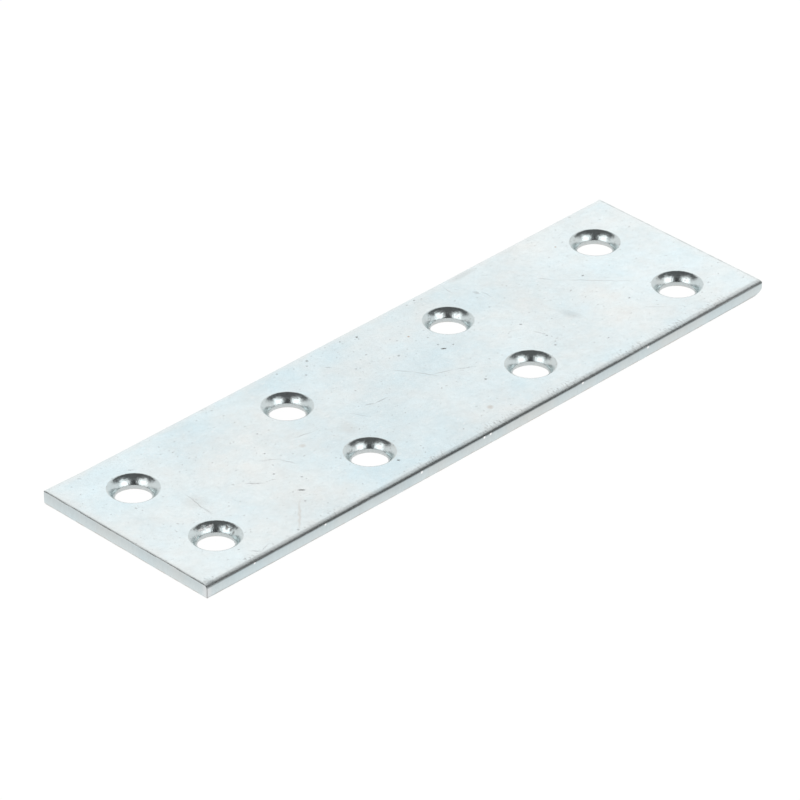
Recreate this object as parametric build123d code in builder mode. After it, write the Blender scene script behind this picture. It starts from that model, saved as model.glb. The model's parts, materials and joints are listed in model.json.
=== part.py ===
"""Flat mending plate: a cropped length of steel strip with two rows of countersunk screw holes.

X runs along the strip, Y across it and Z up out of the face that the screws enter.
The origin is the middle of the underside. All sizes are in millimetres.
"""

import os

from build123d import *

# The strip
length = 135.4
width = 40.4
thickness = 2.5

# Where the holes stand, each set out from an edge or from the hole before it
start_margin = 11.25
end_margin = 11.6
start_pitch = 36.0
end_pitch = 37.3
far_margin = 10.15
near_margin = 10.0

# One screw hole: a punched throat below a pressed countersink, torn a little wider at its foot
throat_diameter = 6.4
throat_height = 1.05
flare_width = 1.35
flare_bulge = 0.13
rim_rounding = 0.5
breakout_width = 0.35
breakout_height = 0.5

# Top edges that the shear pulled down, each given as a width and a depth
near_roll_width = 1.3
near_roll_depth = 0.42
start_roll_width = 0.55
start_roll_depth = 0.4
far_roll_width = 0.9
far_roll_depth = 0.4
end_roll_width = 0.3
end_roll_depth = 0.12

# Bottom edges that the shear pulled up: the far long edge and the end
far_lift_width = 0.6
far_lift_depth = 0.5
end_lift_width = 2.4
end_lift_depth = 1.2

start_x = -length / 2
end_x = length / 2
near_y = -width / 2
far_y = width / 2

# Four holes in each row, two set out from the start of the strip and two from its end
first_column = start_x + start_margin
last_column = end_x - end_margin
hole_columns = [first_column, first_column + start_pitch, last_column - end_pitch, last_column]
hole_rows = [near_y + near_margin, far_y - far_margin]
hole_places = [(x, y, thickness) for y in hole_rows for x in hole_columns]

throat_radius = throat_diameter / 2
rim_radius = throat_radius + flare_width
flare_depth = thickness - throat_height


def sheared_outline(low, high, low_roll, high_roll, high_lift):
    """Draws a section from low to high with rolled top corners and a lifted bottom corner at high."""
    roll_width, roll_depth = low_roll
    low_flat = (low + roll_width, thickness)
    low_arris = (low, thickness - roll_depth)
    roll_width, roll_depth = high_roll
    high_flat = (high - roll_width, thickness)
    high_arris = (high, thickness - roll_depth)
    lift_width, lift_depth = high_lift
    Line(high_flat, low_flat)
    TangentArc(low_flat, low_arris, tangent=(-1, 0))
    Polyline(low_arris, (low, 0), (high - lift_width, 0))
    lift_centre = (high - lift_width, lift_depth)
    EllipticalCenterArc(lift_centre, lift_width, lift_depth, start_angle=270, arc_size=90)
    Line((high, lift_depth), high_arris)
    TangentArc(high_flat, high_arris, tangent=(1, 0))


# What one hole takes out, revolved from half of its section, with the plate's face at zero
with BuildPart(mode=Mode.PRIVATE) as hole:
    with BuildSketch(Plane.XZ):
        with BuildLine():
            foot = (0, -thickness)
            rim = (rim_radius, 0)
            throat_top = (throat_radius, -flare_depth)
            throat_foot = (throat_radius, breakout_height - thickness)
            breakout = (throat_radius + breakout_width, -thickness)
            Polyline(foot, (0, 0), rim)
            SagittaArc(rim, throat_top, -flare_bulge)
            Polyline(throat_top, throat_foot, breakout, foot)
        make_face()
    revolve(axis=Axis.Z)

with BuildPart() as plate:
    # The section across the strip runs its whole length
    with BuildSketch(Plane.YZ):
        with BuildLine():
            near_roll = (near_roll_width, near_roll_depth)
            far_roll = (far_roll_width, far_roll_depth)
            far_lift = (far_lift_width, far_lift_depth)
            sheared_outline(near_y, far_y, near_roll, far_roll, far_lift)
        make_face()
    extrude(amount=length / 2, both=True)

    # The two ends are cropped to their own section, seen from the near side
    with BuildSketch(Plane.XZ):
        with BuildLine():
            start_roll = (start_roll_width, start_roll_depth)
            end_roll = (end_roll_width, end_roll_depth)
            end_lift = (end_lift_width, end_lift_depth)
            sheared_outline(start_x, end_x, start_roll, end_roll, end_lift)
        make_face()
    extrude(amount=width / 2, both=True, mode=Mode.INTERSECT)

    with Locations(*hole_places):
        add(hole.part, mode=Mode.SUBTRACT)

    # The punch drew the face down a little round each rim
    rims = plate.edges().filter_by(GeomType.CIRCLE).group_by(Axis.Z)[-1]
    fillet(rims, rim_rounding)

plate.part.label = "plate"

os.makedirs("parts", exist_ok=True)
export_step(plate.part, "parts/plate.step")
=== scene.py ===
"""The visual model of the mending plate, a cropped, punched and zinc-plated strip of steel.

It builds the plate around its CAD frame and sets up a small studio for it.
"""

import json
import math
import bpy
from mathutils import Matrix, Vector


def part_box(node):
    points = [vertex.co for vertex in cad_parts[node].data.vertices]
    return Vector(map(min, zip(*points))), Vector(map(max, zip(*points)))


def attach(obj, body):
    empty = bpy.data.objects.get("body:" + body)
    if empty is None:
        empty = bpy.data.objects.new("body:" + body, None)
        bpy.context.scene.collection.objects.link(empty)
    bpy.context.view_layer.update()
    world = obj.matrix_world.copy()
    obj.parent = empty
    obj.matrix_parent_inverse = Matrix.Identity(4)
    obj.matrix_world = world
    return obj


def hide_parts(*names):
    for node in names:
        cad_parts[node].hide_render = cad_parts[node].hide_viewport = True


bl_info = {
    "name": "Mending plate",
    "version": (1, 0, 0),
    "blender": (4, 5, 0),
    "location": "3D View > Sidebar > Mending plate",
    "description": "Builds a zinc-plated mending plate around its CAD frame, with a small studio",
    "category": "Object",
}

from collections import namedtuple

import bmesh
import bpy
from bpy.props import FloatProperty, FloatVectorProperty, IntProperty, PointerProperty
from mathutils import Matrix, Vector, noise

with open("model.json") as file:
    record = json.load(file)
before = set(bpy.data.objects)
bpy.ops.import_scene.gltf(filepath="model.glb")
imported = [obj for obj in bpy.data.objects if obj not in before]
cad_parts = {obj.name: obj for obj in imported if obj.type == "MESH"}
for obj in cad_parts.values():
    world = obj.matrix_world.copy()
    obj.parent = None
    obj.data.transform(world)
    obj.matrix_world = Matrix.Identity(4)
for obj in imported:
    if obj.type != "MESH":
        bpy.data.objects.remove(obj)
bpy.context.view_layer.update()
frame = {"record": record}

MM = 0.001
CAD_NODE = "plate"
PIECE = "zinc_plate"
LOW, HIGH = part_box(CAD_NODE)
THICKNESS = HIGH.z

# Two places closer than this are one, and edges closer than TOUCH are welded
CLOSE = 0.01 * MM
TOUCH = 0.001 * MM


def hole_pattern(name):
    """The centres of the four holes of one bolt pattern in the record, and their radius, in metres."""
    mount = next(m for m in frame["record"]["mounts"] if m["name"] == name)
    centre = Vector(mount["pos_m"])
    half_x = mount["dims"]["spacing_x_mm"] * MM / 2
    half_y = mount["dims"]["spacing_y_mm"] * MM / 2
    places = [(centre.x + i * half_x, centre.y + j * half_y) for i in (-1, 1) for j in (-1, 1)]
    return places, mount["dims"]["hole_r_mm"] * MM


OUTER_HOLES, HOLE_RADIUS = hole_pattern("outer_screw_holes")
INNER_HOLES, _ = hole_pattern("inner_screw_holes")
HOLES = OUTER_HOLES + INNER_HOLES


# Settings that a user would change


class PlateSizes(bpy.types.PropertyGroup):
    """Sizes of the pressed countersinks and of the edges that shearing rolled over."""

    flare_width: FloatProperty(
        name="Countersink width",
        description="How far the countersink's rim stands out from the throat",
        default=1.35 * MM,
        unit="LENGTH",
    )
    flare_bulge: FloatProperty(
        name="Countersink bulge",
        description="How far the countersink's wall bulges out of a straight cone",
        default=0.13 * MM,
        unit="LENGTH",
    )
    rim_rounding: FloatProperty(
        name="Rim rounding",
        description="Radius of the rounding where the face turns into the countersink",
        default=0.6 * MM,
        unit="LENGTH",
    )
    throat_rounding: FloatProperty(
        name="Throat rounding",
        description="Radius of the rounding where the countersink turns into the throat",
        default=0.3 * MM,
        unit="LENGTH",
    )
    throat_height: FloatProperty(
        name="Throat height",
        description="Height of the straight hole below the countersink, with its torn foot",
        default=1.05 * MM,
        unit="LENGTH",
    )
    breakout_width: FloatProperty(
        name="Breakout width",
        description="How much wider the hole is torn at the underside",
        default=0.35 * MM,
        unit="LENGTH",
    )
    breakout_height: FloatProperty(
        name="Breakout height",
        description="Height of the torn foot of the hole",
        default=0.5 * MM,
        unit="LENGTH",
    )
    near_roll: FloatVectorProperty(
        name="Near top roll",
        description="Width and depth of the rolled top edge on the near long side",
        size=2,
        default=(1.3 * MM, 0.47 * MM),
        unit="LENGTH",
    )
    start_roll: FloatVectorProperty(
        name="Start top roll",
        description="Width and depth of the rolled top edge at the start",
        size=2,
        default=(0.45 * MM, 0.17 * MM),
        unit="LENGTH",
    )
    far_roll: FloatVectorProperty(
        name="Far top roll",
        description="Width and depth of the rolled top edge on the far long side",
        size=2,
        default=(0.9 * MM, 0.3 * MM),
        unit="LENGTH",
    )
    end_roll: FloatVectorProperty(
        name="End top roll",
        description="Width and depth of the rolled top edge at the end",
        size=2,
        default=(0.3 * MM, 0.12 * MM),
        unit="LENGTH",
    )
    far_lift: FloatVectorProperty(
        name="Far bottom lift",
        description="Width and depth of the rounded bottom edge on the far long side",
        size=2,
        default=(0.6 * MM, 0.5 * MM),
        unit="LENGTH",
    )
    end_lift: FloatVectorProperty(
        name="End bottom lift",
        description="Width and depth of the rounded bottom edge at the end",
        size=2,
        default=(2.4 * MM, 1.2 * MM),
        unit="LENGTH",
    )
    corner_radius: FloatProperty(
        name="Corner radius",
        description="Radius of the four upright corners",
        default=0.15 * MM,
        unit="LENGTH",
    )
    edge_wander: FloatProperty(
        name="Edge wander",
        description="How far the sheared sides wander inwards along their length",
        default=0.05 * MM,
        unit="LENGTH",
    )
    camber: FloatProperty(
        name="Camber",
        description="How far the long sides bow sideways between the middle and the ends",
        default=0.2 * MM,
        unit="LENGTH",
    )
    hole_steps: IntProperty(
        name="Hole steps",
        description="Faces round each hole, a multiple of eight",
        default=128,
        min=32,
        step=8,
    )


class PlateFinish(bpy.types.PropertyGroup):
    """Colours and gloss of the zinc plating, some of them darkened or lightened as painted shade and
    light.
    """

    face_colour: FloatVectorProperty(
        name="Face colour",
        description="Colour of the plating on the rolled faces of the strip",
        subtype="COLOR",
        size=3,
        default=(0.779, 0.864, 0.884),
    )
    pressed_colour: FloatVectorProperty(
        name="Pressed colour",
        description="Colour of the plating in the countersinks",
        subtype="COLOR",
        size=3,
        default=(0.73, 0.803, 0.81),
    )
    # This colour is darkened as painted shade, on the sheared sides and in the throats
    side_colour_with_painted_shade: FloatVectorProperty(
        name="Side colour",
        description="Colour of the plating on the sheared sides and in the throats",
        subtype="COLOR",
        size=3,
        default=(0.625, 0.685, 0.695),
    )
    # Worn pale edges of the faces, and painted light that makes the throats paler
    rubbed_and_painted_light_colour: FloatVectorProperty(
        name="Rubbed colour",
        description="Colour of the plating along the rubbed edges of the faces and in the throats",
        subtype="COLOR",
        size=3,
        default=(0.815, 0.85, 0.845),
    )
    # Painted highlight on the upright corner next to the camera
    corner_highlight_colour: FloatVectorProperty(
        name="Worn colour",
        description="Colour of the plating where the upright corner is worn",
        subtype="COLOR",
        size=3,
        default=(0.80, 0.795, 0.80),
    )
    # Also the colour of a painted dark reflection line down the upright corner next to the camera
    mark_and_dark_reflection_colour: FloatVectorProperty(
        name="Mark colour",
        description="Colour in scratches and pits",
        subtype="COLOR",
        size=3,
        default=(0.25, 0.25, 0.245),
    )
    # Colour of a dark band low on the near roll and right below the near arris
    dark_band_colour: FloatVectorProperty(
        name="Grime colour",
        description="Colour of the grime along the near arris",
        subtype="COLOR",
        size=3,
        default=(0.19, 0.23, 0.235),
    )
    rust_colour: FloatVectorProperty(
        name="Stain colour",
        description="Colour of the few brown spots and streaks",
        subtype="COLOR",
        size=3,
        default=(0.50, 0.36, 0.26),
    )
    face_roughness: FloatProperty(
        name="Face roughness",
        description="Roughness of the flat faces",
        default=0.24,
        subtype="FACTOR",
        min=0.0,
        max=1.0,
    )
    pressed_roughness: FloatProperty(
        name="Pressed roughness",
        description="Roughness where the punch burnished the countersinks",
        default=0.18,
        subtype="FACTOR",
        min=0.0,
        max=1.0,
    )
    side_roughness: FloatProperty(
        name="Side roughness",
        description="Roughness of the sheared sides",
        default=0.36,
        subtype="FACTOR",
        min=0.0,
        max=1.0,
    )


class StudioSettings(bpy.types.PropertyGroup):
    """The camera and the light of the studio."""

    focal_length: FloatProperty(
        name="Focal length",
        description="Focal length on a 36 mm wide sensor",
        default=276.87,
        subtype="DISTANCE_CAMERA",
    )
    camera_azimuth: FloatProperty(
        name="Camera azimuth",
        description="Direction from which the camera looks, from the near side towards the end",
        default=math.radians(-44.653),
        subtype="ANGLE",
    )
    camera_elevation: FloatProperty(
        name="Camera elevation",
        description="How high the camera stands over the floor, as an angle",
        default=math.radians(32.763),
        subtype="ANGLE",
    )
    camera_roll: FloatProperty(
        name="Camera roll",
        description="How far the camera leans to the side",
        default=math.radians(-0.224),
        subtype="ANGLE",
    )
    camera_distance: FloatProperty(
        name="Camera distance",
        description="From the camera to the point of the floor that it looks at",
        default=1064.43 * MM,
        unit="LENGTH",
    )
    camera_target: FloatVectorProperty(
        name="Camera target",
        description="The point of the floor that the camera looks at",
        size=3,
        default=(-2.66 * MM, 0.46 * MM, 0.0),
        unit="LENGTH",
    )
    dome_level: FloatProperty(
        name="Dome level",
        description="Brightness of the dark studio above the white surround",
        default=0.105,
        min=0.0,
    )
    surround_level: FloatProperty(
        name="Surround level",
        description="Brightness of the pale surround at the level of the object",
        default=0.82,
        min=0.0,
    )
    softbox_level: FloatProperty(
        name="Softbox level",
        description="Brightness of the two softboxes beside the camera",
        default=1.5,
        min=0.0,
    )
    floor_colour: FloatVectorProperty(
        name="Floor colour",
        description="Colour of the floor",
        subtype="COLOR",
        size=3,
        default=(0.88, 0.88, 0.88),
    )
    floor_glow: FloatProperty(
        name="Floor glow",
        description="Share of plain white in what the camera and the metal see of the floor",
        default=0.85,
        subtype="FACTOR",
        min=0.0,
        max=1.0,
    )
    under_glow: FloatProperty(
        name="Glow below the plate",
        description="How much of the floor's glow is left below the plate, for the metal alone",
        default=0.65,
        subtype="FACTOR",
        min=0.0,
        max=1.0,
    )


# The shape of the plate

# Rings of the mesh about a hole: beyond the rim on the face, and beyond the foot on the underside
RIM_RINGS = (0.9 * MM, 0.25 * MM, 0.05 * MM, 0.0)
FOOT_RINGS = (0.0, 0.1 * MM, 0.9 * MM)
FOOT_EDGE = 0.06 * MM
# Steps of the mesh down the rim's rounding, the wall and the lip of the throat
RIM_STEPS, WALL_STEPS, LIP_STEPS = 5, 10, 4


def flare_profile(sizes):
    """Half of one hole's section as (radius, height) points, from the flat face to the underside."""
    run = sizes.flare_width
    drop = THICKNESS - sizes.throat_height
    rim = HOLE_RADIUS + run
    chord = math.hypot(run, drop)
    half_turn = 2 * math.atan(2 * sizes.flare_bulge / chord)
    flare_radius = chord / (2 * math.sin(half_turn))
    rim_slope = math.atan2(drop, run) - half_turn
    throat_slope = math.atan2(drop, run) + half_turn
    # The wall is an arc about this centre, and a slope is the angle between the wall and the face
    centre_r = rim + flare_radius * math.sin(rim_slope)
    centre_z = THICKNESS - flare_radius * math.cos(rim_slope)

    # The rim's rounding touches the face and the wall
    inner = flare_radius - sizes.rim_rounding
    rim_z = THICKNESS - sizes.rim_rounding
    rim_r = centre_r - math.sqrt(inner**2 - (rim_z - centre_z) ** 2)
    touch_slope = math.asin((centre_r - rim_r) / inner)

    # The throat's rounding carries on from the wall until it is upright
    lip_r = centre_r - (flare_radius - sizes.throat_rounding) * math.sin(throat_slope)
    lip_z = centre_z + (flare_radius - sizes.throat_rounding) * math.cos(throat_slope)

    def arc(r, z, radius, first, last, steps):
        slopes = [first + (last - first) * i / steps for i in range(1, steps + 1)]
        return [(r - radius * math.sin(s), z + radius * math.cos(s)) for s in slopes]

    points = [(rim_r + ring, THICKNESS) for ring in RIM_RINGS]
    points += arc(rim_r, rim_z, sizes.rim_rounding, 0.0, touch_slope, RIM_STEPS)
    points += arc(centre_r, centre_z, flare_radius, touch_slope, throat_slope, WALL_STEPS)
    points += arc(lip_r, lip_z, sizes.throat_rounding, throat_slope, math.pi / 2, LIP_STEPS)
    throat = points[-1][0]
    points += [(throat, sizes.breakout_height)]
    foot = throat + sizes.breakout_width
    points += [(foot - FOOT_EDGE, FOOT_EDGE)]
    return points + [(foot + ring, 0.0) for ring in FOOT_RINGS]


def midpoints(values, low, high):
    """The borders between cells that each hold one of the values."""
    ordered = sorted(set(round(v, 7) for v in values))
    inner = [(a + b) / 2 for a, b in zip(ordered, ordered[1:])]
    return [low] + inner + [high]


def cell_of(value, borders):
    """The pair of borders that a value lies between."""
    return next((a, b) for a, b in zip(borders, borders[1:]) if a < value < b)


def square_up(bm, loop, hole, cell, steps):
    """Widens a ring of edges about a hole until it runs along the border of the hole's cell."""
    (x0, x1), (y0, y1) = cell
    corners = [Vector((x1, y0)), Vector((x1, y1)), Vector((x0, y1)), Vector((x0, y0)), Vector((x1, y0))]
    grown = bmesh.ops.extrude_edge_only(bm, edges=loop)["geom"]
    for vert in [g for g in grown if isinstance(g, bmesh.types.BMVert)]:
        angle = math.atan2(vert.co.y - hole[1], vert.co.x - hole[0])
        step = round(angle / math.tau * steps + steps / 8) % steps
        side, along = divmod(step, steps // 4)
        place = corners[side].lerp(corners[side + 1], along / (steps / 4))
        vert.co.x, vert.co.y = place


def open_edges(bm):
    """The edges that only one face uses."""
    return [e for e in bm.edges if len(e.link_faces) == 1]


def punch_cells(bm, sizes):
    """Makes the top and the underside as one cell round each hole, with the hole's wall between them."""
    columns = midpoints([x for x, y in HOLES], LOW.x, HIGH.x)
    rows = midpoints([y for x, y in HOLES], LOW.y, HIGH.y)
    profile = flare_profile(sizes)
    for hole in HOLES:
        verts = [bm.verts.new((hole[0] + r, hole[1], z)) for r, z in profile]
        edges = [bm.edges.new(pair) for pair in zip(verts, verts[1:])]
        made = bmesh.ops.spin(
            bm,
            geom=verts + edges,
            cent=(hole[0], hole[1], 0),
            axis=(0, 0, 1),
            angle=math.tau,
            steps=sizes.hole_steps,
            use_merge=True,
        )
        cell = cell_of(hole[0], columns), cell_of(hole[1], rows)
        reach = profile[0][0] + 2 * CLOSE
        near = [
            e
            for e in open_edges(bm)
            if all(math.hypot(v.co.x - hole[0], v.co.y - hole[1]) < reach for v in e.verts)
        ]
        for height in (THICKNESS, 0.0):
            loop = [e for e in near if abs(e.verts[0].co.z - height) < CLOSE]
            square_up(bm, loop, hole, cell, sizes.hole_steps)
    bmesh.ops.remove_doubles(bm, verts=bm.verts, dist=2 * TOUCH)


def roll_radius(roll):
    """Radius of the arc that leaves the face smoothly and reaches a roll's depth at its edge."""
    return (roll[0] ** 2 + roll[1] ** 2) / (2 * roll[1])


def roll_steps(roll, steps=9):
    """Distances from an edge at which its roll turns by equal angles, from the flat to the arris."""
    radius = roll_radius(roll)
    whole = math.asin(roll[0] / radius)
    return [roll[0] - radius * math.sin(whole * i / steps) for i in range(steps)]


def lift_steps(lift, steps=9):
    """Distances from an edge at which its lifted bottom turns by equal angles."""
    return [lift[0] * (1 - math.sin(math.pi / 2 * i / steps)) for i in range(steps)]


# Heights of the edge loops on the sides, as shares of the thickness
SIDE_LOOPS = (0.06, 0.15, 0.3, 0.45, 0.6, 0.75, 0.88, 0.96)
# A face is upright when its normal rises less than this
UPRIGHT = 0.35


def cut_loops(bm, sizes):
    """Cuts the edge loops that carry the rolled edges and the wander of the sides."""
    cuts = [((0, 1, 0), LOW.y + d) for d in roll_steps(sizes.near_roll)]
    cuts += [((1, 0, 0), LOW.x + d) for d in roll_steps(sizes.start_roll)]
    far_steps = roll_steps(sizes.far_roll, 6) + lift_steps(sizes.far_lift, 6)
    cuts += [((0, 1, 0), HIGH.y - d) for d in far_steps]
    end_steps = roll_steps(sizes.end_roll, 3) + lift_steps(sizes.end_lift)
    cuts += [((1, 0, 0), HIGH.x - d) for d in end_steps]
    for axis, place in cuts:
        bmesh.ops.bisect_plane(
            bm,
            geom=bm.verts[:] + bm.edges[:] + bm.faces[:],
            dist=TOUCH,
            plane_co=Vector(axis) * place,
            plane_no=axis,
        )
    for share in SIDE_LOOPS:
        sides = [f for f in bm.faces if is_side(f)]
        rim = {v for f in sides for v in f.verts} | {e for f in sides for e in f.edges} | set(sides)
        bmesh.ops.bisect_plane(
            bm,
            geom=list(rim),
            dist=TOUCH,
            plane_co=(0, 0, THICKNESS * share),
            plane_no=(0, 0, 1),
        )


def is_side(face):
    """True on the four outer sides."""
    reach = 0.3 * MM
    point = face.calc_center_median()
    at_end = point.x < LOW.x + reach or point.x > HIGH.x - reach
    at_side = point.y < LOW.y + reach or point.y > HIGH.y - reach
    return abs(face.normal.z) < UPRIGHT and (at_end or at_side)


def drop_at(distance, roll):
    """How deep a rolled edge has turned down at a distance from its arris."""
    if distance >= roll[0]:
        return 0.0
    radius = roll_radius(roll)
    return radius - math.sqrt(radius**2 - (roll[0] - distance) ** 2)


def lift_at(distance, lift):
    """How far a bottom edge has turned up at a distance from its side."""
    if distance >= lift[0]:
        return 0.0
    return lift[1] * (1 - math.sqrt(max(0.0, 1 - (1 - distance / lift[0]) ** 2)))


def wander(x, y, z, scale, seed):
    """Smooth noise between -1 and 1 that stays the same on each run."""
    return noise.noise(Vector((x / scale + seed, y / scale - seed, z / scale + 2 * seed)))


# How far in from the edges the shear reached, and how unevenly it rolled them over
SHEAR_REACH = 3 * MM
ROLL_SWING = 0.14
START_SWING = 0.35


def shear_edges(bm, sizes):
    """Rolls the edges over and lets the sheared sides wander, as the shear left them."""
    for vert in bm.verts:
        x, y, z = vert.co
        from_near, from_far = y - LOW.y, HIGH.y - y
        from_start, from_end = x - LOW.x, HIGH.x - x
        if min(from_near, from_far, from_start, from_end) > SHEAR_REACH:
            continue
        # A roll is deeper in some places than in others, and has faded out at the far start corner
        across = (y - LOW.y) / (HIGH.y - LOW.y)
        near_share = 1 + ROLL_SWING * wander(x, 0, 0, 9 * MM, 3.1)
        near_roll = (sizes.near_roll[0], sizes.near_roll[1] * near_share)
        start_share = 0.9 + 0.15 * across + START_SWING * wander(0, y, 0, 3 * MM, 7.7)
        start_roll = (sizes.start_roll[0], sizes.start_roll[1] * start_share)
        far_share = min(1.0, 0.2 + from_start / (12 * MM))
        far_share += ROLL_SWING * wander(x, 0, 0, 8 * MM, 4.4)
        far_roll = (sizes.far_roll[0], sizes.far_roll[1] * far_share)
        drop = max(
            drop_at(from_near, near_roll),
            drop_at(from_start, start_roll),
            drop_at(from_far, far_roll),
            drop_at(from_end, sizes.end_roll),
        )
        lift = max(lift_at(from_far, sizes.far_lift), lift_at(from_end, sizes.end_lift))
        vert.co.z = lift + z / THICKNESS * (THICKNESS - drop - lift)
        # Each side wanders inwards only, so that the plate stays in its box
        amount = sizes.edge_wander
        if from_near < CLOSE:
            vert.co.y += amount * abs(wander(x, 0, z, 2.3 * MM, 1.3))
        if from_far < CLOSE:
            vert.co.y -= amount * abs(wander(x, 0, z, 2.0 * MM, 5.9))
        if from_start < CLOSE:
            vert.co.x += amount * abs(wander(0, y, z, 2.1 * MM, 8.3))
        if from_end < CLOSE:
            vert.co.x -= amount * abs(wander(0, y, z, 1.8 * MM, 2.9))
        # The strip bows a little, towards the far side at both ends
        bow = sizes.camber * (x / HIGH.x) ** 2
        if from_near < SHEAR_REACH:
            vert.co.y += bow * (1 - from_near / SHEAR_REACH)
        if from_far < SHEAR_REACH:
            vert.co.y -= (sizes.camber - bow) / 2 * (1 - from_far / SHEAR_REACH)


FACE, PRESSED, SHEARED = range(3)


def sort_faces(bm, sizes):
    """Gives each face its finish: rolled strip, pressed countersink or sheared side."""
    flare = HOLE_RADIUS + sizes.flare_width + 0.12 * MM
    for face in bm.faces:
        face.smooth = True
        centre = face.calc_center_median()
        from_hole = min(math.hypot(centre.x - x, centre.y - y) for x, y in HOLES)
        if from_hole < HOLE_RADIUS + CLOSE or is_side(face):
            face.material_index = SHEARED
        elif from_hole < flare and centre.z > sizes.throat_height - CLOSE:
            face.material_index = PRESSED
        elif from_hole < HOLE_RADIUS + sizes.breakout_width and centre.z > TOUCH:
            face.material_index = SHEARED
        else:
            face.material_index = FACE


CREASE_ANGLE = math.radians(32)


def mark_creases(bm):
    """Marks each edge at which the surface turns sharply, so that it isn't shaded smooth."""
    for edge in bm.edges:
        if len(edge.link_faces) == 2 and edge.calc_face_angle() > CREASE_ANGLE:
            edge.smooth = False


def plate_mesh(sizes):
    """The whole plate as one closed mesh."""
    bm = bmesh.new()
    punch_cells(bm, sizes)
    bmesh.ops.bridge_loops(bm, edges=open_edges(bm))
    corners = [e for e in bm.edges if abs(e.verts[0].co.z - e.verts[1].co.z) > THICKNESS / 2]
    corners = [e for e in corners if is_corner(e.verts[0].co)]
    bmesh.ops.bevel(
        bm,
        geom=corners,
        offset=sizes.corner_radius,
        offset_type="OFFSET",
        segments=3,
        profile=0.5,
        affect="EDGES",
        material=-1,
    )
    bmesh.ops.recalc_face_normals(bm, faces=bm.faces)
    cut_loops(bm, sizes)
    shear_edges(bm, sizes)
    bmesh.ops.recalc_face_normals(bm, faces=bm.faces)
    sort_faces(bm, sizes)
    mark_creases(bm)
    mesh = bpy.data.meshes.new(PIECE)
    bm.to_mesh(mesh)
    bm.free()
    return mesh


def is_corner(point):
    """True at one of the four corners of the plate's outline."""
    at_x = min(abs(point.x - LOW.x), abs(point.x - HIGH.x)) < CLOSE
    at_y = min(abs(point.y - LOW.y), abs(point.y - HIGH.y)) < CLOSE
    return at_x and at_y


# The finish of the plating

# Marks on the face: how deep, half how wide, and the points along them, in millimetres from the middle
Scratch = namedtuple("Scratch", "depth half_width points")

SCRATCHES = (
    # Long fine scratch past the end holes to the near side
    Scratch(0.28, 0.13, ((39.9, 9.0), (41.5, 6.6), (52.2, -4.8), (60.1, -13.2))),
    # Long bent scratch in the middle, in two strokes
    Scratch(0.34, 0.15, ((0.4, 5.5), (2.5, 2.5), (4.9, -1.8))),
    Scratch(0.31, 0.14, ((4.6, -0.6), (8.1, -1.9), (11.5, -4.0))),
    # Brownish scratch and its neighbour, between the middle holes
    Scratch(0.43, 0.15, ((-10.7, 0.8), (-9.2, 0.0), (-6.3, -0.2))),
    Scratch(0.25, 0.13, ((-14.4, 0.9), (-12.8, -2.5))),
    # Wavy scratch towards the start, and a short one above it
    Scratch(0.31, 0.14, ((-35.9, 1.2), (-33.1, -0.8), (-31.7, -4.1))),
    Scratch(0.28, 0.13, ((-26.9, 2.1), (-22.7, 1.0))),
    # Short ones by the far side, past the middle
    Scratch(0.25, 0.13, ((25.9, 18.4), (25.7, 15.7))),
    Scratch(0.25, 0.13, ((29.8, 12.6), (29.8, 10.1))),
    Scratch(0.31, 0.13, ((26.8, -2.9), (27.6, -5.6))),
    # Two side by side between the start holes
    Scratch(0.31, 0.13, ((-51.4, 3.2), (-52.7, -5.3))),
    Scratch(0.28, 0.16, ((-52.2, -2.8), (-52.4, -5.2))),
    # Hooked scratch at the near side by the start
    Scratch(0.37, 0.16, ((-55.7, -17.3), (-54.3, -19.0))),
    Scratch(0.31, 0.15, ((-54.3, -18.9), (-52.0, -18.2))),
    # Dark nicks
    Scratch(0.5, 0.16, ((-42.2, -2.2), (-39.9, -4.5))),
    Scratch(1.0, 0.2, ((-37.3, -9.9), (-36.3, -10.9))),
    Scratch(1.0, 0.2, ((-19.1, -15.3), (-18.6, -15.8))),
    Scratch(1.0, 0.2, ((11.3, 4.5), (12.1, 3.7))),
    Scratch(0.7, 0.2, ((26.7, 0.3), (27.1, -0.1))),
    Scratch(0.4, 0.16, ((-7.3, 14.4), (-6.4, 13.5))),
    Scratch(0.4, 0.16, ((-61.4, 18.9), (-60.7, 18.2))),
    Scratch(0.4, 0.16, ((-53.6, 15.0), (-52.4, 13.8))),
)

# Pits and specks on the face: how dark, how wide, and where
Pit = namedtuple("Pit", "depth radius x y")

PITS = (
    Pit(0.9, 0.28, 3.5, 17.4),
    Pit(0.7, 0.25, 0.4, 18.4),
    Pit(0.6, 0.25, 11.9, 5.7),
    Pit(0.7, 0.25, 13.9, 3.8),
    Pit(0.7, 0.28, 46.4, 3.8),
    Pit(0.6, 0.25, 46.7, -7.3),
    Pit(0.6, 0.25, 27.5, -5.7),
    Pit(0.8, 0.3, 26.3, -8.9),
    Pit(0.6, 0.25, 34.6, -13.8),
    Pit(0.7, 0.3, 9.8, -8.1),
    Pit(0.5, 0.25, -33.5, 2.0),
    Pit(0.6, 0.25, -36.7, -3.6),
    Pit(0.5, 0.25, -30.2, 7.4),
    Pit(0.6, 0.25, 19.3, 19.0),
    Pit(0.5, 0.25, 17.2, 18.8),
    Pit(0.5, 0.25, -3.8, 10.2),
    Pit(0.5, 0.35, 4.5, 8.0),
    Pit(0.6, 0.3, -8.0, 18.1),
    Pit(0.5, 0.3, -9.2, 16.9),
    Pit(0.45, 0.3, -11.2, 14.9),
    Pit(0.5, 0.25, -14.6, 18.7),
    Pit(0.5, 0.3, -34.0, -7.6),
    Pit(0.5, 0.3, -38.7, -13.3),
    Pit(0.5, 0.3, -45.6, -18.7),
)

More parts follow.
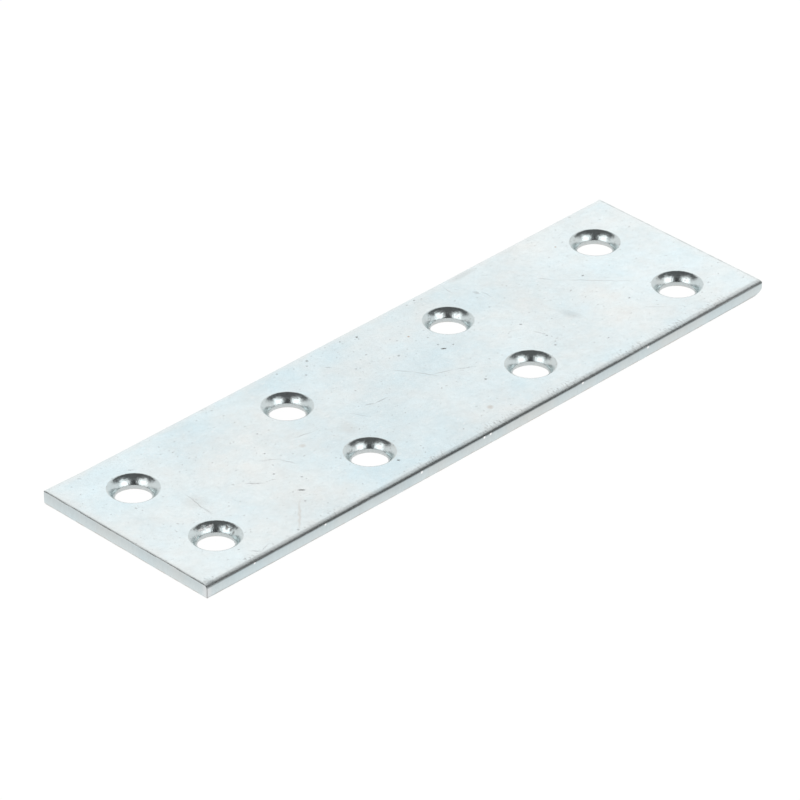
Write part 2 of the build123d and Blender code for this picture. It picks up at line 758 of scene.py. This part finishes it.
# Brown spots and stains on the face
STAINS = (
    Pit(0.9, 0.25, 10.1, 11.2),
    Pit(0.8, 0.25, 50.0, 14.0),
    Pit(0.35, 0.8, 4.0, -14.8),
    Pit(0.25, 0.7, -27.3, -0.8),
    Pit(0.15, 2.2, -17.9, -2.1),
    Pit(0.12, 2.6, -52.0, -0.5),
)

# Brown streak from the inner start hole to the near side
STREAK = Scratch(0.22, 0.35, ((-39.2, -12.4), (-45.5, -18.9)))

# Grey smears on the face
SMEARS = (
    Scratch(0.3, 0.5, ((28.6, 13.8), (29.1, 12.4))),
    Scratch(0.16, 1.3, ((34.8, -1.4), (36.2, -6.0))),
    Scratch(0.11, 0.3, ((46.4, -11.2), (49.2, -13.9))),
    Scratch(0.14, 0.9, ((27.5, 19.0), (35.0, 18.9))),
    Scratch(0.26, 1.0, ((-67.2, -19.8), (-66.0, -18.4))),
)

# Scuffs and nicks on the wall of the hole next to the camera, and the height at which they lie
WALL_SCUFFS = (
    Scratch(1.0, 0.24, ((-57.1, -6.4), (-55.5, -6.6), (-53.9, -7.0))),
    Scratch(0.9, 0.22, ((-58.9, -7.9), (-57.6, -6.8))),
)
WALL_NICKS = (Pit(1.0, 0.4, -52.9, -9.1), Pit(0.9, 0.3, -52.8, -9.9), Pit(0.9, 0.38, -53.0, -10.7))
WALL_HEIGHT = 1.9 * MM

# Bright dots on the near side, just below its arris: along the plate, and height
DOTS = ((-56.9, 1.9), (-40.6, 1.9), (-17.9, 1.75), (-2.8, 1.85), (-1.3, 1.9), (21.5, 1.9), (38.0, 1.8))

# A spot is full well inside its border and reaches this far above and below its height,
# and the spot of a stroke is this much longer than half the stroke
SPOT_RISE = 1.6
SPOT_HALF_HEIGHT = 0.8 * MM
STROKE_REACH = 0.58

WHITE = (1.0, 1.0, 1.0, 1.0)
PALE_SPECK = (0.93, 0.94, 0.94, 1.0)
# What a tint adds to red, green and blue
TINT = (-0.71, 0.2, 0.68)


class Weave:
    """Adds nodes to a tree, one call for each."""

    def __init__(self, tree):
        self.tree = tree
        tree.nodes.clear()

    def node(self, kind, inputs=None, **settings):
        made = self.tree.nodes.new(kind)
        for name, value in settings.items():
            setattr(made, name, value)
        for name, value in (inputs or {}).items():
            self.feed(made.inputs[name], value)
        return made

    def feed(self, socket, value):
        if isinstance(value, bpy.types.NodeSocket):
            self.tree.links.new(value, socket)
        else:
            socket.default_value = value

    def math(self, operation, *values, clamp=False):
        made = self.node("ShaderNodeMath", operation=operation, use_clamp=clamp)
        for socket, value in zip(made.inputs, values):
            self.feed(socket, value)
        return made.outputs[0]

    def vector(self, operation, *values):
        made = self.node("ShaderNodeVectorMath", operation=operation)
        for socket, value in zip(made.inputs, values):
            self.feed(socket, value)
        return made.outputs["Value" if operation in ("DOT_PRODUCT", "LENGTH") else "Vector"]

    def ramp(self, value, low, high, to_low=0.0, to_high=1.0):
        """A smooth step of value from low to high."""
        made = self.node(
            "ShaderNodeMapRange",
            {"Value": value, "From Min": low, "From Max": high, "To Min": to_low, "To Max": to_high},
            interpolation_type="SMOOTHSTEP",
        )
        return made.outputs["Result"]

    def mix(self, share, first, second):
        made = self.node("ShaderNodeMix", data_type="RGBA")
        self.feed(made.inputs[0], share)
        self.feed(made.inputs[6], first)
        self.feed(made.inputs[7], second)
        return made.outputs[2]

    def noise(self, place, size, detail=2.0, roughness=0.5, output="Fac"):
        """Noise whose lumps are about size metres wide."""
        made = self.node(
            "ShaderNodeTexNoise",
            {"Vector": place, "Scale": 1 / size, "Detail": detail, "Roughness": roughness},
        )
        return made.outputs[output]


def new_metal(name):
    """A material with plain metal in it: the tree's weave, the place on the object and the shader."""
    material = bpy.data.materials.new(name)
    material.use_nodes = True
    weave = Weave(material.node_tree)
    place = weave.node("ShaderNodeTexCoord").outputs["Object"]
    shader = weave.node("ShaderNodeBsdfPrincipled", {"Metallic": 1.0})
    weave.node("ShaderNodeOutputMaterial", {"Surface": shader.outputs[0]})
    return material, weave, place, shader


def spot_share(weave, place, spots, height=THICKNESS):
    """How far a point lies inside elliptical spots at a height, 1 in the middle of a full one."""
    share = 0.0
    for depth, (x, y), (half_length, half_width), angle in spots:
        local = weave.node(
            "ShaderNodeMapping",
            {
                "Vector": place,
                "Location": (x * MM, y * MM, height),
                "Rotation": (0.0, 0.0, angle),
                "Scale": (half_length * MM, half_width * MM, SPOT_HALF_HEIGHT),
            },
            vector_type="TEXTURE",
        ).outputs[0]
        ball = weave.node("ShaderNodeTexGradient", {"Vector": local}, gradient_type="SPHERICAL")
        rise = weave.math("MULTIPLY", ball.outputs["Fac"], SPOT_RISE, clamp=True)
        share = weave.math("MAXIMUM", share, weave.math("MULTIPLY", rise, depth))
    return share


def scratch_spots(scratches):
    """One long spot for each stroke of each scratch, a little longer than the stroke."""
    spots = []
    for scratch in scratches:
        for start, end in zip(scratch.points, scratch.points[1:]):
            run, rise = end[0] - start[0], end[1] - start[1]
            middle = (start[0] + run / 2, start[1] + rise / 2)
            half_length = math.hypot(run, rise) * STROKE_REACH
            reach = (half_length, scratch.half_width)
            spots.append((scratch.depth, middle, reach, math.atan2(rise, run)))
    return spots


def pit_spots(pits):
    """One round spot for each pit."""
    return [(pit.depth, (pit.x, pit.y), (pit.radius, pit.radius), 0.0) for pit in pits]


def opaque(colour):
    """A setting's colour with full cover, as sockets take it."""
    return (*colour, 1.0)


def shaded(weave, colour, *swings):
    """A colour made lighter and darker by values around a half, each given with its swing."""
    for value, swing in swings:
        factor = weave.math("MULTIPLY_ADD", value, 2 * swing, 1 - swing)
        grey = weave.node("ShaderNodeCombineXYZ", {0: factor, 1: factor, 2: factor})
        colour = weave.vector("MULTIPLY", colour, grey.outputs[0])
    return colour


def tinted(weave, colour, value, amount):
    """A colour leaned to blue where a noise is high and to pink where it is low."""
    lean = weave.math("MULTIPLY_ADD", value, 2 * amount, -amount)
    parts = {i: weave.math("MULTIPLY", lean, share) for i, share in enumerate(TINT)}
    return weave.vector("ADD", colour, weave.node("ShaderNodeCombineXYZ", parts).outputs[0])


def edge_distance(weave, place):
    """How far a point of the face lies from the nearest edge of the plate, in metres."""
    x, y, _ = weave.node("ShaderNodeSeparateXYZ", {"Vector": place}).outputs
    from_ends = weave.math("SUBTRACT", HIGH.x, weave.math("ABSOLUTE", x))
    from_sides = weave.math("SUBTRACT", HIGH.y, weave.math("ABSOLUTE", y))
    return weave.math("MINIMUM", from_ends, from_sides)


def bumped(weave, shader, *layers):
    """Feeds the shader bumps whose layers are given as (height from 0 to 1, depth in metres)."""
    normal = None
    for height, depth in layers:
        inputs = {"Height": height, "Strength": 1.0, "Distance": depth}
        if normal is not None:
            inputs["Normal"] = normal
        normal = weave.node("ShaderNodeBump", inputs).outputs[0]
    weave.feed(shader.inputs["Normal"], normal)


def elsewhere(weave, place, *shift):
    """A shifted place, at which a noise looks different."""
    return weave.vector("ADD", place, shift)


def face_zinc(finish):
    """The rolled faces: pale, clouded and grained, with rubbed edges, scratches, pits and stains."""
    material, weave, place, shader = new_metal("face_zinc")
    clouds = weave.noise(place, 15 * MM, detail=1.0)
    lumps = weave.noise(place, 3.2 * MM, detail=1.0)
    grain = weave.noise(place, 1.0 * MM, detail=2.5, roughness=0.75)
    x, y, _ = weave.node("ShaderNodeSeparateXYZ", {"Vector": place}).outputs
    # The strip is paler and less blue towards its ends, and palest at its end
    from_middle = weave.math("ABSOLUTE", weave.math("ADD", x, 4 * MM))
    outwards = weave.ramp(from_middle, 0.1 * HIGH.x, 1.05 * HIGH.x, 0.15, 1.0)
    endwards = weave.ramp(x, 0.5 * HIGH.x, 0.95 * HIGH.x, 0.5, 1.0)
    swings = (clouds, 0.095), (lumps, 0.04), (grain, 0.09), (outwards, 0.04), (endwards, 0.025)
    colour = shaded(weave, (*finish.face_colour,), *swings)
    colour = tinted(weave, colour, outwards, -0.006)
    colour = tinted(weave, colour, clouds, -0.04)
    broad = weave.noise(elsewhere(weave, place, 0.7, 0.2, 0.5), 13 * MM)
    colour = tinted(weave, colour, broad, 0.095)
    narrow = weave.noise(elsewhere(weave, place, 0.3, 0.1, 0.2), 2.6 * MM)
    colour = tinted(weave, colour, narrow, 0.035)

    # Rubbed edges, less blue than the face and palest at the end, with an uneven border
    ragged = weave.math("MULTIPLY_ADD", lumps, 3.0 * MM, edge_distance(weave, place))
    rubbed = weave.ramp(ragged, 1.4 * MM, 3.6 * MM, 0.7, 0.0)
    by_end = weave.ramp(x, HIGH.x - 4 * MM, HIGH.x - 1 * MM)
    paler = Vector(finish.rubbed_and_painted_light_colour) * 1.08
    edging = weave.mix(by_end, opaque(finish.rubbed_and_painted_light_colour), opaque(paler))
    colour = weave.mix(rubbed, colour, shaded(weave, edging, (grain, 0.1)))

    # Sparse dark specks and pale specks
    specks = weave.noise(elsewhere(weave, place, 0.5, 0.4, 0.1), 0.55 * MM, detail=1.0)
    colour = weave.mix(weave.ramp(specks, 0.69, 0.8, 0.0, 0.4), colour, opaque(finish.mark_and_dark_reflection_colour))
    colour = weave.mix(weave.ramp(specks, 0.33, 0.24, 0.0, 0.4), colour, PALE_SPECK)

    # Fine dark hatching comes and goes along the near edge, on its roll and just beside it
    long_way = weave.vector("MULTIPLY", place, (1.0, 0.4, 1.0))
    lines = weave.ramp(weave.noise(long_way, 0.35 * MM, detail=2.0, roughness=0.6), 0.5, 0.66)
    by_near = weave.ramp(y, LOW.y + 1.2 * MM, LOW.y + 2.6 * MM, 0.38, 0.0)
    patches = weave.ramp(weave.noise(place, 6 * MM), 0.4, 0.6, 0.2, 1.0)
    hatching = weave.math("MULTIPLY", weave.math("MULTIPLY", lines, by_near), patches)
    colour = weave.mix(hatching, colour, opaque(finish.mark_and_dark_reflection_colour))

    # A dark band lies low on the near roll, darkest in the middle of the strip
    dark_band = weave.ramp(y, LOW.y + 0.15 * MM, LOW.y + 0.6 * MM, 0.4, 0.0)
    dark_band = weave.math("MULTIPLY", dark_band, weave.math("SUBTRACT", 1.05, outwards))
    colour = weave.mix(dark_band, colour, opaque(finish.dark_band_colour))

    # A broken dark line runs along the arris of the end
    line = weave.ramp(x, HIGH.x - 0.6 * MM, HIGH.x - 0.4 * MM, 0.0, 0.3)
    breaks = weave.ramp(weave.noise(place, 1.6 * MM), 0.35, 0.65, 0.3, 1.0)
    line = weave.math("MULTIPLY", line, breaks)
    colour = weave.mix(line, colour, opaque(finish.mark_and_dark_reflection_colour))

    # Named marks follow a slightly shaken copy of the place, so that none is ruler straight
    shake = weave.vector("SUBTRACT", weave.noise(place, 1.3 * MM, output="Color"), (0.5, 0.5, 0.5))
    shake = weave.vector("MULTIPLY", shake, (0.5 * MM, 0.5 * MM, 0.0))
    shaken = weave.vector("ADD", place, shake)
    spots = scratch_spots(SCRATCHES) + pit_spots(PITS) + scratch_spots(SMEARS)
    marks = spot_share(weave, shaken, spots)
    marks = weave.math("MULTIPLY", marks, weave.ramp(grain, 0.3, 0.5, 0.55, 1.0))
    colour = weave.mix(marks, colour, opaque(finish.mark_and_dark_reflection_colour))
    stains = spot_share(weave, shaken, pit_spots(STAINS) + scratch_spots([STREAK]))
    colour = weave.mix(stains, colour, opaque(finish.rust_colour))
    weave.feed(shader.inputs["Base Color"], colour)

    gloss = weave.math("MULTIPLY_ADD", clouds, 0.10, finish.face_roughness - 0.05)
    gloss = weave.math("ADD", gloss, weave.math("MULTIPLY", marks, 0.12))
    weave.feed(shader.inputs["Roughness"], gloss)
    fine = weave.noise(place, 0.3 * MM, detail=2.0)
    bumped(weave, shader, (fine, 0.009 * MM), (grain, 0.012 * MM), (marks, -0.05 * MM))
    return material


def pressed_zinc(finish):
    """The countersinks: smoother, darker plating with fine marks, and scuffs and nicks in one."""
    material, weave, place, shader = new_metal("pressed_zinc")
    clouds = weave.noise(place, 2.5 * MM, detail=2.0)
    grain = weave.noise(place, 0.45 * MM, detail=2.5, roughness=0.7)
    colour = shaded(weave, (*finish.pressed_colour,), (clouds, 0.05), (grain, 0.14))
    colour = tinted(weave, colour, weave.noise(place, 3.0 * MM), 0.04)
    specks = weave.noise(elsewhere(weave, place, 0.2, 0.7, 0.3), 0.6 * MM, detail=1.0)
    colour = weave.mix(weave.ramp(specks, 0.64, 0.76, 0.0, 0.5), colour, opaque(finish.mark_and_dark_reflection_colour))
    scuffs = spot_share(weave, place, scratch_spots(WALL_SCUFFS), WALL_HEIGHT)
    nicks = spot_share(weave, place, pit_spots(WALL_NICKS), WALL_HEIGHT)
    colour = weave.mix(nicks, colour, opaque(finish.mark_and_dark_reflection_colour))
    colour = weave.mix(scuffs, colour, WHITE)
    weave.feed(shader.inputs["Base Color"], colour)
    gloss = weave.math("MULTIPLY_ADD", grain, 0.14, finish.pressed_roughness - 0.07)
    weave.feed(shader.inputs["Roughness"], weave.math("MULTIPLY_ADD", scuffs, 0.6, gloss))
    fine = weave.noise(place, 0.25 * MM, detail=2.0)
    bumped(weave, shader, (fine, 0.013 * MM), (grain, 0.032 * MM), (scuffs, 0.02 * MM))
    return material


def sheared_zinc(finish, sizes):
    """The sheared sides and torn throats: duller plating with upright drag lines and pastel clouds,
    darkened as painted shade, with painted light in the throats and a painted reflection on the corner
    next to the camera.
    """
    material, weave, place, shader = new_metal("sheared_zinc")
    clouds = weave.noise(place, 7 * MM, detail=2.0)
    upright = weave.vector("MULTIPLY", place, (1.0, 1.0, 0.18))
    drag = weave.noise(upright, 0.4 * MM, detail=2.0, roughness=0.6)
    x, y, z = weave.node("ShaderNodeSeparateXYZ", {"Vector": place}).outputs
    downwards = weave.ramp(z, 0.2 * MM, 2.0 * MM, 1.0, 0.0)
    swings = (clouds, 0.06), (drag, 0.07), (downwards, 0.055)
    colour = shaded(weave, (*finish.side_colour_with_painted_shade,), *swings)
    pastel = weave.noise(elsewhere(weave, place, 0.1, 0.2, 0.4), 8 * MM, detail=2.0)
    colour = tinted(weave, colour, pastel, 0.07)

    # Painted light: the throats are made nearly as pale as the rubbed edges, though their holes lie in
    # shade
    throat_light = weave.ramp(edge_distance(weave, place), 2.0 * MM, 4.0 * MM, 0.0, 0.6)
    colour = weave.mix(throat_light, colour, opaque(finish.rubbed_and_painted_light_colour))

    # Painted reflection: the upright corner next to the camera gets a pale band of painted highlight,
    # with a painted dark line down its arris
    from_start = weave.math("SUBTRACT", x, LOW.x)
    from_near = weave.math("SUBTRACT", y, LOW.y + sizes.camber)
    apart = weave.math("MAXIMUM", from_start, from_near)
    corner_highlight = weave.ramp(apart, 0.2 * MM, 1.6 * MM, 0.6, 0.0)
    colour = weave.mix(corner_highlight, colour, opaque(finish.corner_highlight_colour))
    # Painted dark reflection down the corner's arris
    line = weave.ramp(apart, 0.1 * MM, 0.2 * MM, 0.6, 0.0)
    colour = weave.mix(line, colour, opaque(finish.mark_and_dark_reflection_colour))

    # The near side has a dark band right below its top arris too
    arris = THICKNESS - sizes.near_roll[1]
    dark_band = weave.ramp(z, arris - 0.3 * MM, arris - 0.02 * MM, 0.0, 0.7)
    dark_band = weave.math("MULTIPLY", dark_band, weave.ramp(from_near, 0.0, 0.3 * MM, 1.0, 0.0))
    colour = weave.mix(dark_band, colour, opaque(finish.dark_band_colour))

    # The bottom arris is rubbed and a little brown, in patches
    patches = weave.ramp(weave.noise(place, 2.0 * MM), 0.35, 0.6)
    rubbed = weave.math("MULTIPLY", weave.ramp(z, 0.0, 0.28 * MM, 0.45, 0.0), patches)
    colour = weave.mix(rubbed, colour, opaque(finish.rust_colour))

    # Bright dots stand in a row below the near arris
    share = 0.0
    for along, height in DOTS:
        away = weave.vector("SUBTRACT", place, (along * MM, LOW.y, height * MM))
        near = weave.ramp(weave.vector("LENGTH", away), 0.35 * MM, 0.12 * MM)
        share = weave.math("MAXIMUM", share, near)
    colour = weave.mix(share, colour, WHITE)
    weave.feed(shader.inputs["Base Color"], colour)
    gloss = weave.math("MULTIPLY_ADD", clouds, 0.12, finish.side_roughness - 0.06)
    weave.feed(shader.inputs["Roughness"], gloss)
    fine = weave.noise(place, 0.3 * MM, detail=2.0)
    bumped(weave, shader, (fine, 0.008 * MM), (drag, 0.03 * MM))
    return material


# The studio

# A bright panel of the studio: angles in degrees, seen from the plate, and brightness
Panel = namedtuple("Panel", "azimuth elevation half_width half_height soft level")
AHEAD_PANEL = Panel(0, 30, 18, 34, 7, 1.0)

# Soft borders in the studio, in degrees: of the turn away from straight ahead
AHEAD_ENDS, BESIDE_ENDS, GAP_STARTS = (50, 65), (100, 125), (152, 166)
# and of the elevation over the floor
SURROUND_ENDS, FOOT_ENDS = (40, 54), (12, 26)
GAP_FOOT, GAP_HEAD = (4, 12), (42, 58)
# How much lower the surround ends at the sides than ahead, and how far the softboxes move apart
# towards the floor, in degrees
AHEAD_SINK, BESIDE_SINK, FOOT_SPREAD = -11, 14, 14
GAP_DIM = 0.92

# Brightness of the floor's plain white, and its half size and depth below the plate
PAPER_STRENGTH = 1.12
PAPER_REACH = 3.0
PAPER_DEPTH = 0.01 * MM


def panel_share(weave, turn, elevation, panel):
    """How much of a panel a direction sees, with angles in degrees and soft borders."""
    away = weave.math("ABSOLUTE", weave.math("SUBTRACT", turn, float(panel.azimuth)))
    rise = weave.math("ABSOLUTE", weave.math("SUBTRACT", elevation, float(panel.elevation)))
    across = weave.ramp(away, panel.half_width - panel.soft, panel.half_width + panel.soft, 1.0, 0.0)
    along = weave.ramp(rise, panel.half_height - panel.soft, panel.half_height + panel.soft, 1.0, 0.0)
    return weave.math("MULTIPLY", across, along)


def studio_world(settings):
    """A pale surround at the plate's level, a dark room above and behind it, and three panels."""
    world = bpy.data.worlds.new("studio")
    world.use_nodes = True
    bpy.context.scene.world = world
    weave = Weave(world.node_tree)
    direction = weave.node("ShaderNodeTexCoord").outputs["Generated"]
    azimuth = settings.camera_azimuth
    ahead = (-math.sin(azimuth), math.cos(azimuth), 0.0)
    right = (math.cos(azimuth), math.sin(azimuth), 0.0)
    forward = weave.vector("DOT_PRODUCT", direction, ahead)
    side = weave.vector("DOT_PRODUCT", direction, right)
    up = weave.node("ShaderNodeSeparateXYZ", {"Vector": direction}).outputs["Z"]
    elevation = weave.math("MULTIPLY", weave.math("ARCSINE", up), 180 / math.pi)
    # Angle from the direction in which the camera looks, up to 180 degrees right behind it
    turn = weave.math("ABSOLUTE", weave.math("ARCTAN2", side, forward))
    turn = weave.math("MULTIPLY", turn, 180 / math.pi)

    # The white surround stands higher ahead than at the sides
    sink = weave.ramp(turn, *AHEAD_ENDS, AHEAD_SINK, BESIDE_SINK)
    sink = weave.math("MULTIPLY", sink, weave.ramp(turn, *BESIDE_ENDS, 1, 0))
    levels = settings.surround_level, settings.dome_level
    level = weave.ramp(weave.math("ADD", elevation, sink), *SURROUND_ENDS, *levels)
    # The two softboxes and the dark gap between them, right behind the camera, widen towards the floor
    spread = weave.math("ADD", turn, weave.ramp(elevation, *FOOT_ENDS, FOOT_SPREAD, 0))
    gap = weave.math("MULTIPLY", weave.ramp(spread, *GAP_STARTS), weave.ramp(elevation, *GAP_FOOT))
    gap = weave.math("MULTIPLY", gap, weave.ramp(elevation, *GAP_HEAD, 1, 0))
    dim = weave.math("SUBTRACT", 1.0, weave.math("MULTIPLY", gap, GAP_DIM))
    level = weave.math("MULTIPLY", level, dim)
    softboxes = Panel(126, 31, 26, 17, 9, settings.softbox_level)
    for heading, panel in ((turn, AHEAD_PANEL), (spread, softboxes)):
        share = panel_share(weave, heading, elevation, panel)
        level = weave.math("MAXIMUM", level, weave.math("MULTIPLY", share, panel.level))

    lit = weave.node("ShaderNodeBackground", {"Strength": level})
    plain = weave.node("ShaderNodeBackground", {"Strength": 1.0})
    for background in (lit, plain):
        background.inputs["Color"].default_value = WHITE
    seen = weave.node("ShaderNodeLightPath").outputs["Is Camera Ray"]
    both = weave.node("ShaderNodeMixShader", {0: seen, 1: lit.outputs[0], 2: plain.outputs[0]})
    weave.node("ShaderNodeOutputWorld", {"Surface": both.outputs[0]})


def studio_floor(settings):
    """A plain pale floor that the camera and the metal see as near white, with the shadow on it."""
    bm = bmesh.new()
    bmesh.ops.create_grid(bm, x_segments=1, y_segments=1, size=PAPER_REACH)
    bmesh.ops.translate(bm, verts=bm.verts, vec=(0, 0, -PAPER_DEPTH))
    mesh = bpy.data.meshes.new("studio_floor")
    bm.to_mesh(mesh)
    bm.free()
    floor = bpy.data.objects.new("studio_floor", mesh)
    bpy.context.scene.collection.objects.link(floor)

    material = bpy.data.materials.new("floor_paper")
    material.use_nodes = True
    weave = Weave(material.node_tree)
    paper = weave.node("ShaderNodeBsdfDiffuse", {"Color": opaque(settings.floor_colour)})
    white = weave.node("ShaderNodeEmission", {"Color": WHITE, "Strength": PAPER_STRENGTH})
    path = weave.node("ShaderNodeLightPath").outputs
    # Below the plate the metal sees more of the paper as it is, in the plate's own shade
    place = weave.node("ShaderNodeTexCoord").outputs["Object"]
    x, y, _ = weave.node("ShaderNodeSeparateXYZ", {"Vector": place}).outputs
    past_ends = weave.math("GREATER_THAN", weave.math("ABSOLUTE", x), HIGH.x)
    past_sides = weave.math("GREATER_THAN", weave.math("ABSOLUTE", y), HIGH.y)
    outside = weave.math("MAXIMUM", past_ends, past_sides)
    glow = weave.ramp(outside, 0.0, 1.0, settings.under_glow, 1.0)
    by_metal = weave.math("MULTIPLY", path["Is Glossy Ray"], glow)
    seen = weave.math("MAXIMUM", path["Is Camera Ray"], by_metal)
    seen = weave.math("MAXIMUM", seen, path["Is Transmission Ray"])
    share = weave.math("MULTIPLY", seen, settings.floor_glow)
    both = weave.node("ShaderNodeMixShader", {0: share, 1: paper.outputs[0], 2: white.outputs[0]})
    weave.node("ShaderNodeOutputMaterial", {"Surface": both.outputs[0]})
    mesh.materials.append(material)


def studio_camera(settings):
    """The camera at the photograph's viewing angle."""
    camera = bpy.data.cameras.new("studio_camera")
    camera.sensor_width = 36.0
    camera.lens = settings.focal_length
    camera.clip_start = 0.05
    camera.clip_end = 20.0
    eye = bpy.data.objects.new("studio_camera", camera)
    azimuth, elevation = settings.camera_azimuth, settings.camera_elevation
    back = Vector(
        (
            math.sin(azimuth) * math.cos(elevation),
            -math.cos(azimuth) * math.cos(elevation),
            math.sin(elevation),
        )
    )
    turn = back.to_track_quat("Z", "Y") @ Matrix.Rotation(settings.camera_roll, 3, "Z").to_quaternion()
    eye.location = Vector(settings.camera_target) + back * settings.camera_distance
    eye.rotation_mode = "QUATERNION"
    eye.rotation_quaternion = turn
    bpy.context.scene.collection.objects.link(eye)
    bpy.context.scene.camera = eye


# Operators and the panel


class MENDING_PLATE_OT_build_plate(bpy.types.Operator):
    """Build the zinc-plated mending plate over its CAD node"""

    bl_idname = "mending_plate.build_plate"
    bl_label = "Build plate"

    def execute(self, context):
        sizes = context.scene.mending_plate_sizes
        finish = context.scene.mending_plate_finish
        mesh = plate_mesh(sizes)
        for material in (face_zinc(finish), pressed_zinc(finish), sheared_zinc(finish, sizes)):
            mesh.materials.append(material)
        plate = bpy.data.objects.new(PIECE, mesh)
        context.scene.collection.objects.link(plate)
        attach(plate, "root")
        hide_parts(CAD_NODE)
        return {"FINISHED"}


class MENDING_PLATE_OT_build_stage(bpy.types.Operator):
    """Build the floor, the light and the camera"""

    bl_idname = "mending_plate.build_stage"
    bl_label = "Build stage"

    def execute(self, context):
        settings = context.scene.mending_plate_studio
        studio_floor(settings)
        studio_world(settings)
        studio_camera(settings)
        context.scene.view_settings.view_transform = "Standard"
        return {"FINISHED"}


class MENDING_PLATE_PT_panel(bpy.types.Panel):
    """Lists the settings and the operators in the 3D view's sidebar"""

    bl_label = "Mending plate"
    bl_idname = "MENDING_PLATE_PT_panel"
    bl_space_type = "VIEW_3D"
    bl_region_type = "UI"
    bl_category = "Mending plate"

    def draw(self, context):
        layout = self.layout
        for group in GROUPS:
            settings = getattr(context.scene, group)
            for name in settings.__annotations__:
                layout.prop(settings, name)
        layout.operator(MENDING_PLATE_OT_build_plate.bl_idname)
        layout.operator(MENDING_PLATE_OT_build_stage.bl_idname)


GROUPS = {
    "mending_plate_sizes": PlateSizes,
    "mending_plate_finish": PlateFinish,
    "mending_plate_studio": StudioSettings,
}
OTHER_CLASSES = (MENDING_PLATE_OT_build_plate, MENDING_PLATE_OT_build_stage, MENDING_PLATE_PT_panel)


def register():
    for name, group in GROUPS.items():
        bpy.utils.register_class(group)
        setattr(bpy.types.Scene, name, PointerProperty(type=group))
    for each in OTHER_CLASSES:
        bpy.utils.register_class(each)


def unregister():
    for each in reversed(OTHER_CLASSES):
        bpy.utils.unregister_class(each)
    for name, group in GROUPS.items():
        delattr(bpy.types.Scene, name)
        bpy.utils.unregister_class(group)


def main():
    register()
    bpy.ops.mending_plate.build_plate()
    bpy.ops.mending_plate.build_stage()


if __name__ == "__main__":
    main()
